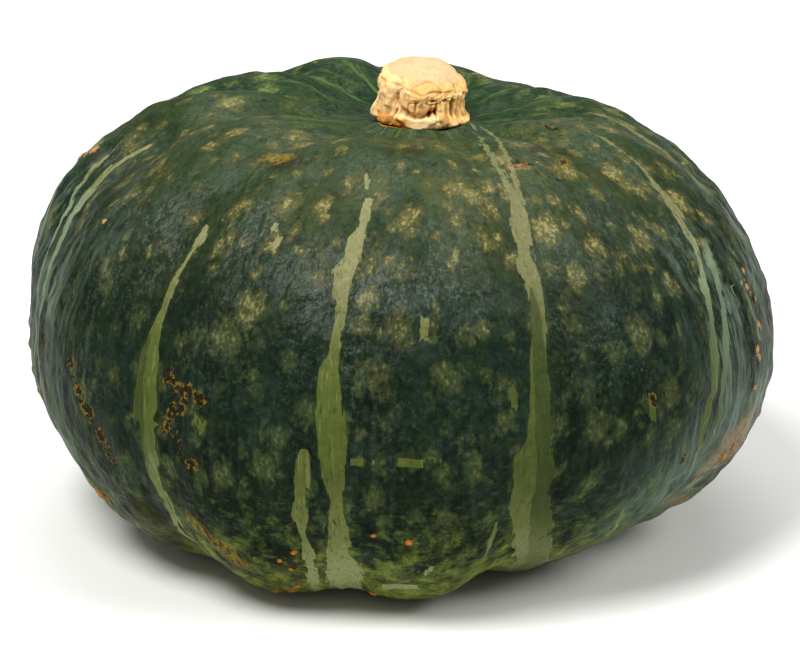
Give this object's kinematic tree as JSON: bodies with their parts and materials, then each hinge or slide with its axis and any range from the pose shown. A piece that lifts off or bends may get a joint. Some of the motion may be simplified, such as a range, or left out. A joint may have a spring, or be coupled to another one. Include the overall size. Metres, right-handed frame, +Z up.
{
  "type": "kabocha squash",
  "caption": "Flattened, gently ribbed dark green squash with pale stripes and speckles, a sunken crown, a corky cut stem and a broad flat underside.",
  "frame": {"origin": "centre of the object's outline, on the surface that it rests on", "axes": "+Z up along the fruit's axis to the stem; +X across the fruit's width, to the side that the stem leans towards; the front faces -Y"},
  "size_m": [0.1792, 0.1744, 0.1144],
  "materials": {
    "rind": "waxy dark green rind, satin, with paler green stripes in some grooves and clusters of olive speckles",
    "cork": "dry, matte, beige corky stem with brown cracks"
  },
  "bodies": {
    "root": {"fruit": "rind", "stem": "cork"}
  },
  "joints": []
}
